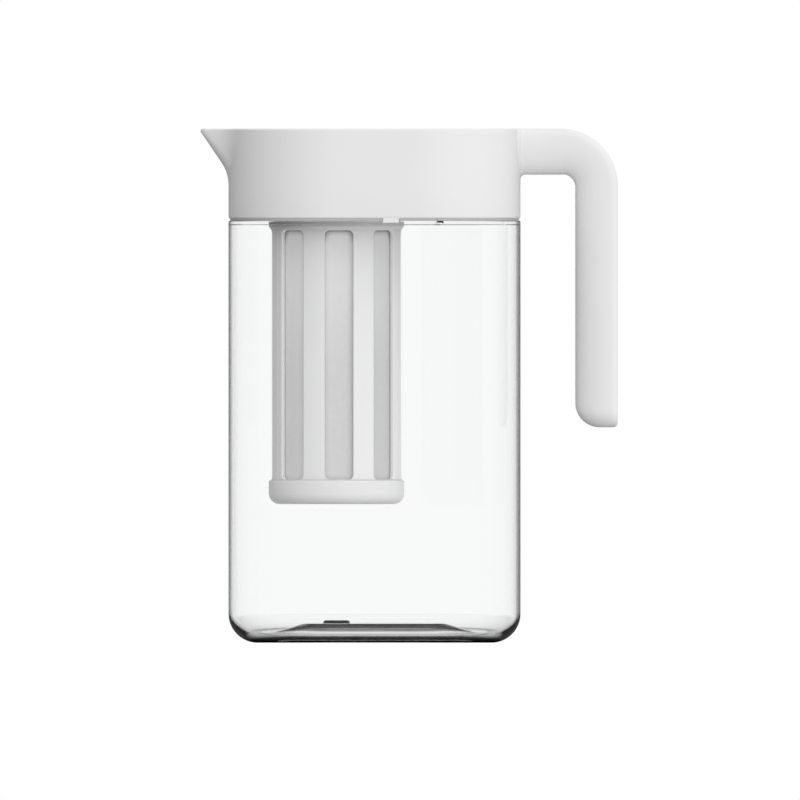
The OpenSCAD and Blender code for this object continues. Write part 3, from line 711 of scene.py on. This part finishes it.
def carbon():
    """Pressed grains of activated carbon."""
    material, tree, shader, place = principled("carbon")
    grains = add(tree, "ShaderNodeTexVoronoi", {"Vector": place}, Scale=900.0).outputs["Distance"]
    tree.links.new(mixed(tree, grains, grey(0.012), grey(0.05)), shader.inputs["Base Color"])
    bumped(tree, shader, grains, strength=0.6, depth=0.3)
    set_shader(shader, Roughness=0.85)
    return material


def gasket_silicone():
    """Grey silicone whose locating tabs, which reach below the shoulder, are black."""
    material = moulded_rubber("gasket_silicone", 0.54, 0.5)
    tree, tone, plain = base_tone(material)
    height = axes_of(tree, object_place(tree))["Z"]
    above = arithmetic(tree, "GREATER_THAN", height, TAB_TOP * MM)
    tree.links.new(mixed(tree, above, grey(0.02), plain), tone)
    return material


def pin_steel():
    """Ground steel, drawn along the pin."""
    material, tree, shader, place = principled("pin_steel")
    along = add(tree, "ShaderNodeMapping", {"Vector": place}, Scale=(1.0, 0.03, 1.0)).outputs["Vector"]
    lines = noise(tree, along, Scale=6000.0, Detail=2.0)
    tree.links.new(mixed(tree, lines, grey(0.5), grey(0.66)), shader.inputs["Base Color"])
    tree.links.new(spread(tree, lines, 0.2, 0.4), shader.inputs["Roughness"])
    set_shader(shader, Metallic=1.0)
    return material


CLEAR = clear_plastic()
COLLAR_WHITE = satin_white("collar_white", 0.86, 0.84)
COVER_WHITE = satin_white("cover_white", 0.86, 0.84)
HOPPER_WHITE = satin_white("hopper_white", 0.88, 0.86, gloss=0.3)
CAGE_WHITE = cage_white()
CAP_WHITE = satin_white("cap_white", 0.85, 0.83)
CARTRIDGE_WHITE = satin_white("cartridge_white", 0.83, 0.81, gloss=0.35)
FLEECE = fleece()
CARBON = carbon()
RUBBER = moulded_rubber("seal_rubber", 0.035, 0.05)
GASKET = gasket_silicone()
STEEL = pin_steel()


# Vessel


def vessel_section():
    """Half section of the clear vessel, from the middle of its underside to the middle of its floor."""
    foot_out = BODY_R - BASE_CORNER
    rise_from = VESSEL_IN - INNER_CORNER - FLOOR_RIM
    return [
        (0, RECESS_DEPTH),
        *s_curve((RECESS_R, RECESS_DEPTH), (foot_out - FOOT_WIDTH, 0), 14),
        *arc((foot_out, BASE_CORNER), BASE_CORNER, -90, 0, 24),
        (BODY_R, BASE_CORNER + SUPPORT),
        (BODY_R, SHOULDER_Z - SHOULDER_ROUND - SUPPORT),
        *arc((BODY_R - SHOULDER_ROUND, SHOULDER_Z - SHOULDER_ROUND), SHOULDER_ROUND, 0, 90, 8),
        (NECK_OUT, SHOULDER_Z),
        (NECK_OUT, BEAD_Z - BEAD_FOOT),
        (NECK_OUT + BEAD, BEAD_Z - BEAD_CREST),
        (NECK_OUT + BEAD, BEAD_Z + BEAD_CREST),
        (NECK_OUT, BEAD_Z + BEAD_FOOT),
        *arc((NECK_OUT - NECK_ROUND, NECK_TOP - NECK_ROUND), NECK_ROUND, 0, 90, 3),
        *arc((NECK_IN + NECK_ROUND, NECK_TOP - NECK_ROUND), NECK_ROUND, 90, 180, 3),
        (NECK_IN, LEDGE_Z + LEDGE_ROUND + SUPPORT),
        *arc((NECK_IN + LEDGE_ROUND, LEDGE_Z + LEDGE_ROUND), LEDGE_ROUND, 180, 270, 6),
        *arc((VESSEL_IN - LEDGE_ROUND, LEDGE_Z - LEDGE_ROUND), LEDGE_ROUND, 90, 0, 6),
        (VESSEL_IN, LEDGE_Z - LEDGE_ROUND - SUPPORT),
        (VESSEL_IN, FLOOR_EDGE + INNER_CORNER + SUPPORT),
        *arc((VESSEL_IN - INNER_CORNER, FLOOR_EDGE + INNER_CORNER), INNER_CORNER, 0, -90, 20),
        *s_curve((rise_from, FLOOR_EDGE), (rise_from - FLOOR_SLOPE, PLATEAU), 16),
        (0, PLATEAU),
    ]


def notch(length, x=0, angle=0):
    """Cutters for a notch on both long sides, x from the middle or turned round the handle end."""
    tools = []
    turn = Matrix.Rotation(-math.radians(angle), 3, "Z")
    for side in (-1, 1):
        low = (x - length / 2 - KEY_GAP, BODY_R - NOTCH_DEPTH, NOTCH_Z)
        high = (x + length / 2 + KEY_GAP, BODY_R + OVER, SHOULDER_Z + OVER)
        bm = block(low, high)
        bmesh.ops.rotate(bm, verts=bm.verts, cent=(x, 0, 0), matrix=turn)
        bmesh.ops.scale(bm, verts=bm.verts, vec=(1, side, 1))
        bmesh.ops.recalc_face_normals(bm, faces=bm.faces)
        tools.append(bm)
    return tools


def vessel():
    """Clear vessel with a boss on its floor and notches in its shoulder, which casts no shadow."""
    piece = piece_from(sweep_body(vessel_section()), VESSEL_NAME)
    boss = [
        (0, PLATEAU - OVER), (BOSS_R, PLATEAU - OVER),
        *arc((BOSS_R - BOSS_EDGE, BOSS_TOP - BOSS_EDGE), BOSS_EDGE, 0, 90, 6),
        (0, BOSS_TOP),
    ]
    carve(piece, "UNION", spin_piece(boss, steps=50))
    carve(piece, "DIFFERENCE", *notch(KEY_LENGTH, KEY_X), *notch(TAB_WIDTH, SPINE, TAB_ANGLE))
    piece.visible_shadow = False
    piece.visible_diffuse = False
    dress(piece, "vessel", CLEAR)


# Collar with spout and handle


# Heights on the spout's front line: its lip, where its lean would meet the wall, and the blend's ends
LIP_Z = RIM_Z - LIP_HEIGHT
MEET_Z = LIP_Z - SPOUT_REACH / math.tan(SPOUT_LEAN)
BLEND_Z0 = MEET_Z - SPOUT_BLEND * math.tan(SPOUT_LEAN / 2)
BLEND_Z1 = MEET_Z + SPOUT_BLEND * math.tan(SPOUT_LEAN / 2) * math.cos(SPOUT_LEAN)


def keel(z):
    """Reach of the spout's front line beyond the wall at height z."""
    if z >= LIP_Z:
        return SPOUT_REACH
    if z >= BLEND_Z1:
        return (z - MEET_Z) * math.tan(SPOUT_LEAN)
    if z > BLEND_Z0:
        return SPOUT_BLEND - math.sqrt(SPOUT_BLEND ** 2 - (z - BLEND_Z0) ** 2)
    return 0


def spout_radius(turn, reach, inset):
    """Distance from the filter's axis to the spout's side, turn radians away from its middle."""
    nose = NOSE_R + (NOSE_ROOT_R - NOSE_R) * (1 - reach / SPOUT_REACH)
    centre = BODY_R + reach - nose
    r = max(nose - inset, NOSE_LEAST_R)
    tangent = math.atan2(r * math.cos(SPOUT_HALF_ANGLE), centre + r * math.sin(SPOUT_HALF_ANGLE))
    if turn < tangent:
        return centre * math.cos(turn) + math.sqrt(r ** 2 - (centre * math.sin(turn)) ** 2)
    return (centre * math.sin(SPOUT_HALF_ANGLE) + r) / math.sin(turn + SPOUT_HALF_ANGLE)


def blended(a, b, width):
    """The greater of two radii, with a soft change between them."""
    if width <= 0 or abs(a - b) >= width:
        return max(a, b)
    return max(a, b) + (width - abs(a - b)) ** 2 / (4 * width)


def collar_ring(wall, z, inset, reach=None, shrink=0):
    """Plan of the collar at height z: the body plan of radius wall, with the spout drawn in by inset."""
    reach = keel(z) if reach is None else reach
    crease = min(SPOUT_CREASE, reach)
    points = []
    for i in range(-RING_STEPS, RING_STEPS + 1):
        s = i / RING_STEPS
        turn = math.pi / 2 * (RING_EVEN * s + (1 - RING_EVEN) * s ** 3)
        r = blended(wall, spout_radius(abs(turn), reach, inset), crease) if reach > 0 else wall
        r -= shrink
        points.append((FILTER_X - r * math.cos(turn), -r * math.sin(turn), z))
    for x, y in arc((SPINE, 0), wall - shrink, -90, 90, 64):
        points.append((x, y, z))
    return points


def collar_levels(low, high):
    """Heights for the collar's rings, close together where the spout grows out of the wall."""
    rise = [BLEND_Z0 + (BLEND_Z1 - BLEND_Z0) * i / 12 for i in range(13)]
    lean = [BLEND_Z1 + (LIP_Z - BLEND_Z1) * i / 8 for i in range(1, 9)]
    return [low] + [z for z in rise + lean if low < z < high] + [high]


def collar_shell():
    """Wall of the collar and its spout, open at the top and below."""
    rings = []
    for x, z in arc((-SEAM_ROUND, SEAM_Z + SEAM_ROUND), SEAM_ROUND, -90, 0, 6):
        rings.append(collar_ring(BODY_R, z, 0, 0, -x))
    levels = collar_levels(SEAM_Z + SEAM_ROUND, RIM_Z - RIM_ROUND)
    rings += [collar_ring(BODY_R, z, 0) for z in levels[1:]]
    for x, z in arc((-RIM_ROUND, RIM_Z - RIM_ROUND), RIM_ROUND, 15, 90, 5):
        rings.append(collar_ring(BODY_R, z, 0, SPOUT_REACH, -x))
    for x, z in arc((-RIM_ROUND, RIM_Z - RIM_ROUND), RIM_ROUND, 90, 15, 5):
        rings.append(collar_ring(COLLAR_IN, z, SPOUT_WALL, SPOUT_REACH, x))
    inner = collar_levels(SEAM_Z, RIM_Z - RIM_ROUND)
    rings += [collar_ring(COLLAR_IN, z, SPOUT_WALL) for z in reversed(inner)]
    return loft(rings, tube=True)


def handle_section(depth0, depth1, half):
    """Section across the handle as (depth, side): flat outside with soft edges, half an ellipse inside."""
    wide = min(WIDEST_DEPTH, WIDEST_SHARE * (depth1 - depth0))
    edge = min(HANDLE_EDGE, EDGE_SHARE * half)
    widest = depth0 + wide
    outer = oval_arc((widest, half - edge), wide, edge, 180, 90, 8)
    inner = oval_arc((widest, 0), depth1 - widest, half, 84, -84, 28)
    return outer + inner + [(depth, -side) for depth, side in reversed(outer)]


def handle_ring(section, origin, inwards):
    """Places a section where the outer face passes through origin, inwards pointing to the fingers."""
    (x, z), (along, up) = origin, inwards
    return [(x + depth * along, side, z + depth * up) for depth, side in section]


def rounding(r, h):
    """How far a round of radius r has drawn in at height h above its end."""
    return r - math.sqrt(r ** 2 - max(r - h, 0) ** 2)


def handle():
    """Arm, bend and grip with a free end, rooted inside the collar's wall."""
    rings = []
    flare = [(-HANDLE_ROOT, ARM_FILLET), *arc((ARM_FILLET, ARM_FILLET), ARM_FILLET, 180, 270, 6)]
    for x, grown in flare:
        section = handle_section(0, ARM_THICKNESS + grown, HANDLE_HALF + FILLET_SIDE * grown)
        rings.append(handle_ring(section, (WALL_X + x, RIM_Z), (0, -1)))
    centre = (GRIP_X - BEND_R, RIM_Z - BEND_R)
    for i in range(BEND_STEPS + 1):
        q = math.radians(90 - 90 * i / BEND_STEPS)
        out, up = math.cos(q), math.sin(q)
        thickness = GRIP_THICKNESS + (ARM_THICKNESS - GRIP_THICKNESS) * (1 - i / BEND_STEPS)
        section = handle_section(0, thickness, HANDLE_HALF)
        origin = (centre[0] + BEND_R * out, centre[1] + BEND_R * up)
        rings.append(handle_ring(section, origin, (-out, -up)))
    for i in range(END_STEPS + 1):
        h = END_INNER_R * (1 - math.sin(math.radians(90 * i / END_STEPS)))
        section = handle_section(rounding(END_OUTER_R, h), GRIP_THICKNESS - rounding(END_INNER_R, h),
                                 HANDLE_HALF - rounding(END_SIDE_R, h))
        rings.append(handle_ring(section, (GRIP_X, HANDLE_END + h), (-1, 0)))
    return loft(rings)


def keys():
    """Two keys below the seam that stop the collar from turning."""
    tools = []
    for side in (-1, 1):
        near, far = sorted(side * (BODY_R - KEY_FACE - depth) for depth in (0, KEY_THICKNESS))
        low = (KEY_X - KEY_LENGTH / 2, near, SEAM_Z - KEY_DEPTH)
        high = (KEY_X + KEY_LENGTH / 2, far, SEAM_Z + OVER)
        tools.append(block(low, high))
    return tools


def collar():
    """Collar with its spout, handle and keys in one moulding."""
    piece = piece_from(collar_shell(), "collar_with_handle")
    carve(piece, "UNION", handle(), *keys())
    dress(piece, "collar", COLLAR_WHITE, smooth=35)


# Filter


def cage_windows():
    """Cutters for the windows, with round corners."""
    bm = bmesh.new()
    half = WINDOW_WIDTH / 2 - WINDOW_CORNER
    low = WINDOW_Z[0] + WINDOW_CORNER
    high = WINDOW_Z[1] - WINDOW_CORNER
    outline = []
    for i, centre in enumerate(((half, low), (half, high), (-half, high), (-half, low))):
        outline += arc(centre, WINDOW_CORNER, 90 * i - 90, 90 * i, 5)
    for i in range(WINDOWS):
        verts, edges = chain(bm, [(CAGE_IN - CUT_START, y, z) for y, z in outline], loop=True)
        face = bmesh.ops.edgeloop_fill(bm, edges=edges)["faces"]
        grown = bmesh.ops.extrude_face_region(bm, geom=face, use_keep_orig=True)["geom"]
        moved = [v for v in grown if isinstance(v, bmesh.types.BMVert)]
        bmesh.ops.translate(bm, verts=moved, vec=(CUT_LENGTH, 0, 0))
        turn = Matrix.Rotation(math.radians(360 / WINDOWS * i - 90), 3, "Z")
        bmesh.ops.rotate(bm, verts=verts + moved, cent=(0, 0, 0), matrix=turn)
    bmesh.ops.translate(bm, verts=bm.verts, vec=(FILTER_X, 0, 0))
    bmesh.ops.recalc_face_normals(bm, faces=bm.faces)
    return bm


def cage_lug(turn):
    """Lug that hooks under the hopper's catch, turn degrees round the flange."""
    section = ((BAND_R, SEAT_Z), (LUG_R, SEAT_Z), (LUG_R, cage_high.z), (BAND_R, cage_high.z))
    rings = []
    for i in range(LUG_STEPS + 1):
        q = math.radians(turn + LUG_ANGLE * (i / LUG_STEPS - 0.5))
        rings.append([(FILTER_X + r * math.cos(q), r * math.sin(q), z) for r, z in section])
    return loft(rings)


def filter_cage():
    """Tube with tall windows, a band below the seam and a flange with lugs on top."""
    section = [
        (CAGE_IN, cage_low.z), (SPIGOT_R - CAGE_BEVEL, cage_low.z), (SPIGOT_R, cage_low.z + CAGE_BEVEL),
        (SPIGOT_R, CAP_TOP), (CAGE_R, CAP_TOP),
        *s_curve_upright((CAGE_R, BAND_BLEND[0]), (BAND_R, BAND_BLEND[1]), 6),
        (BAND_R, SEAT_Z), (FLANGE_R, SEAT_Z), (FLANGE_R, cage_high.z),
        (CAGE_IN + CAGE_BEVEL, cage_high.z), (CAGE_IN, cage_high.z - CAGE_BEVEL),
    ]
    piece = piece_from(spin_piece(section, loop=True), "windowed_cage")
    carve(piece, "UNION", *[cage_lug(360 / LUGS * i - WINDOW_TURN) for i in range(LUGS)])
    carve(piece, "DIFFERENCE", cage_windows())
    soften(piece, CAGE_SOFTNESS)
    axis = Matrix.Translation((FILTER_X, 0, 0))
    piece.data.transform(axis @ Matrix.Rotation(math.radians(WINDOW_TURN), 4, "Z") @ axis.inverted())
    dress(piece, "filter_cage", CAGE_WHITE)


def cage_cap():
    """Cup that closes the cage from below."""
    inside = cap_low.z + CAP_FLOOR
    section = [
        (0, cap_low.z),
        *arc((BAND_R - CAP_EDGE, cap_low.z + CAP_EDGE), CAP_EDGE, -90, 0, 16),
        *arc((BAND_R - CAP_RIM, CAP_TOP - CAP_RIM), CAP_RIM, 0, 90, 6),
        (CAP_BORE, CAP_TOP), (CAP_BORE, inside + CAGE_BEVEL), (CAP_BORE - CAGE_BEVEL, inside), (0, inside),
    ]
    dress(piece_from(spin_piece(section), "cap_of_cage"), "cage_cap", CAP_WHITE)


def media_wrap():
    """Fleece that shows in the windows, trimmed round below and lapped over the cap's edge above."""
    outer = wrap_high.y + FLEECE_NAP
    inner = wrap_high.y - FLEECE_THICKNESS
    lap = wrap_high.y + LAP_EDGE
    low = wrap_low.z
    high = wrap_high.z
    section = [
        (inner, low), *arc((outer - FLEECE_EDGE, low + FLEECE_EDGE), FLEECE_EDGE, -90, 0, 5),
        *arc((outer - LAP_EDGE, high + FLEECE_LAP - LAP_EDGE), LAP_EDGE, 0, 90, 3),
        (lap, high + FLEECE_LAP), (lap, high), (inner, high),
    ]
    dress(piece_from(spin_piece(section, loop=True), "fleece_wrap"), "media_wrap", FLEECE)


def softened_copies():
    """Pieces whose own shape is right, with their edges rounded."""
    for node, material, width in (
            ("hopper", HOPPER_WHITE, 0.4), ("cover", COVER_WHITE, 0.2), ("fill_door", COVER_WHITE, 0.25),
            ("spout_flap", COVER_WHITE, 0.25), ("cartridge_top_cap", CARTRIDGE_WHITE, 0.3)):
        piece = moulded_copy(node)
        soften(piece, width)
        dress(piece, node, material)


def finish_nodes():
    """Finishes for the nodes that show as they are."""
    finishes = {
        GASKET: ("collar_gasket",),
        RUBBER: ("hopper_seal", "cage_seal", "cartridge_seal", "cover_seal"),
        STEEL: ("door_pin", "flap_pin"),
        CARBON: ("carbon_block",),
        CARTRIDGE_WHITE: ("cartridge_core", "cartridge_bottom_cap"),
    }
    for material, nodes in finishes.items():
        for node in nodes:
            mesh = frame["nodes"][node].data
            mesh.materials.clear()
            mesh.materials.append(material)


def soften_mirroring():
    """Leaves the white and dark pieces out of the mirror images in the clear walls."""
    for piece in bpy.context.scene.objects:
        if piece.type == "MESH" and piece.name != VESSEL_NAME:
            piece.visible_glossy = False


# Studio


def seen_directly(tree):
    """One for what is seen straight, mirrored or through clear plastic, and nought for lighting."""
    path = add(tree, "ShaderNodeLightPath").outputs
    seen = arithmetic(tree, "MAXIMUM", path["Is Camera Ray"], path["Is Glossy Ray"])
    seen = arithmetic(tree, "MAXIMUM", seen, path["Is Transmission Ray"])
    unlit = arithmetic(tree, "LESS_THAN", path["Diffuse Depth"], 0.5)
    return arithmetic(tree, "MULTIPLY", seen, unlit)


# Soft light: its level, the way it grows (to the handle's side, to the front, upwards), and how much
# more it falls off on the spout's side
LIGHT_LEVEL = 0.70
LIGHT_LEAN = (0.25, -0.43, 0.36)
SPOUT_SIDE_DROP = 0.19
# White surroundings that glass shows: the upward slants between which they turn dark, and the level there
CEILING_RISE = (0.02, 0.12)
CEILING_LEVEL = 0.02
# Mirrored surroundings, and the floor's painted darkening in mirrored views: dim, so that clear edges read
# as dark lines
MIRRORED = 0.25
MIRRORED_FLOOR = 0.1


def studio_world():
    """White surroundings, with soft light that comes from the front and the handle's side."""
    world = bpy.data.worlds.new("studio")
    world.use_nodes = True
    tree = world.node_tree
    bpy.context.scene.world = world
    path = add(tree, "ShaderNodeLightPath").outputs
    direction = add(tree, "ShaderNodeTexCoord").outputs["Generated"]
    axes = axes_of(tree, direction)
    lean = add(tree, "ShaderNodeVectorMath", {0: direction}, operation="DOT_PRODUCT")
    lean.inputs[1].default_value = LIGHT_LEAN
    light = arithmetic(tree, "ADD", lean.outputs["Value"], LIGHT_LEVEL)
    spout_side = arithmetic(tree, "MINIMUM", axes["X"], 0.0)
    light = arithmetic(tree, "MULTIPLY_ADD", spout_side, SPOUT_SIDE_DROP, light)
    light = arithmetic(tree, "MAXIMUM", light, 0.0)
    through = rising(tree, axes["Z"], CEILING_RISE, 1.0, CEILING_LEVEL)
    shown = mixed_value(tree, path["Is Camera Ray"], MIRRORED, 1.0)
    shown = mixed_value(tree, path["Is Transmission Ray"], shown, through)
    strength = mixed_value(tree, seen_directly(tree), light, shown)
    tree.links.new(strength, tree.nodes["Background"].inputs["Strength"])
    tree.nodes["Background"].inputs["Color"].default_value = grey(1)


# Floor: its radius, how far it lies below the base, its own tone, and the glow that makes it read as white
FLOOR_R = 1600
FLOOR_DROP = 0.2
FLOOR_TONE = 0.45
FLOOR_GLOW = 0.64
# Painted shade of the floor outwards from the middle line of the base: its level there, then the painted
# light ring under the raised middle and the painted dark foot, each as the distances over which it begins
# and its level, and the distances over which the open floor begins
SHADE_MIDDLE = 0.5
SHADE_STEPS = (((9, 19), 1.0), ((37.2, 38.2), 0.01))
OPEN_STEP = (42.5, 50)
# Under the base the painted shade darkens from the front to the back: where, and its level at the back
BACK_SPAN = (-5, 20)
BACK_LEVEL = 0.03
# The least level of the painted shade where the floor is seen straight
OPEN_SHADE = 0.6


def painted_floor_shade(tree, place):
    """Painted shade for each place of the floor, painted darker still in mirrored views."""
    axes = axes_of(tree, place)
    path = add(tree, "ShaderNodeLightPath").outputs
    side = arithmetic(tree, "SUBTRACT", arithmetic(tree, "ABSOLUTE", axes["X"]), SPINE * MM)
    outwards = distance(tree, arithmetic(tree, "MAXIMUM", side, 0.0), axes["Y"])
    shade = SHADE_MIDDLE
    for span, level in SHADE_STEPS:
        shade = mixed_value(tree, rising_mm(tree, outwards, span), shade, level)
    shade = arithmetic(tree, "MULTIPLY", shade, rising_mm(tree, axes["Y"], BACK_SPAN, 1.0, BACK_LEVEL))
    shade = mixed_value(tree, rising_mm(tree, outwards, OPEN_STEP), shade, 1.0)
    least = arithmetic(tree, "MULTIPLY", path["Is Camera Ray"], OPEN_SHADE)
    shade = arithmetic(tree, "MAXIMUM", shade, least)
    mirrored = mixed_value(tree, path["Is Reflection Ray"], 1.0, MIRRORED_FLOOR)
    return arithmetic(tree, "MULTIPLY", shade, mirrored)


def studio_floor():
    """Pale floor that reads as white, with a painted contact shade under the foot."""
    bm = bmesh.new()
    bmesh.ops.create_circle(bm, cap_ends=True, radius=FLOOR_R, segments=96)
    bmesh.ops.translate(bm, verts=bm.verts, vec=(0, 0, -FLOOR_DROP))
    bmesh.ops.scale(bm, verts=bm.verts, vec=(MM, MM, MM))
    floor = piece_from(bm, "floor")
    material, tree, shader, place = principled("pale_floor")
    set_shader(shader, Roughness=1.0, Specular_IOR_Level=0.0)
    shade = painted_floor_shade(tree, place)
    tree.links.new(arithmetic(tree, "MULTIPLY", shade, FLOOR_TONE), shader.inputs["Base Color"])
    glow = add(tree, "ShaderNodeEmission")
    strength = arithmetic(tree, "MULTIPLY", seen_directly(tree), FLOOR_GLOW)
    tree.links.new(arithmetic(tree, "MULTIPLY", strength, shade), glow.inputs["Strength"])
    both = add(tree, "ShaderNodeAddShader", {0: shader.outputs[0], 1: glow.outputs[0]})
    tree.links.new(both.outputs[0], tree.nodes["Material Output"].inputs["Surface"])
    floor.data.materials.append(material)
    floor.visible_diffuse = False


def camera():
    """Level camera square to the pitcher's long side, without perspective."""
    data = bpy.data.cameras.new("camera")
    data.type = "ORTHO"
    data.ortho_scale = FRAME_SIDE * PIXEL * MM
    eye = bpy.data.objects.new("camera", data)
    x = (FRAME_SIDE / 2 - ORIGIN_PX[0]) * PIXEL
    z = (ORIGIN_PX[1] - FRAME_SIDE / 2) * PIXEL
    eye.location = (x * MM, -CAMERA_DISTANCE * MM, z * MM)
    eye.rotation_euler = (math.pi / 2, 0, 0)
    bpy.context.scene.collection.objects.link(eye)
    bpy.context.scene.camera = eye


vessel()
collar()
filter_cage()
cage_cap()
media_wrap()
softened_copies()
finish_nodes()
soften_mirroring()
studio_world()
studio_floor()
camera()
bpy.context.scene.view_settings.view_transform = "Standard"
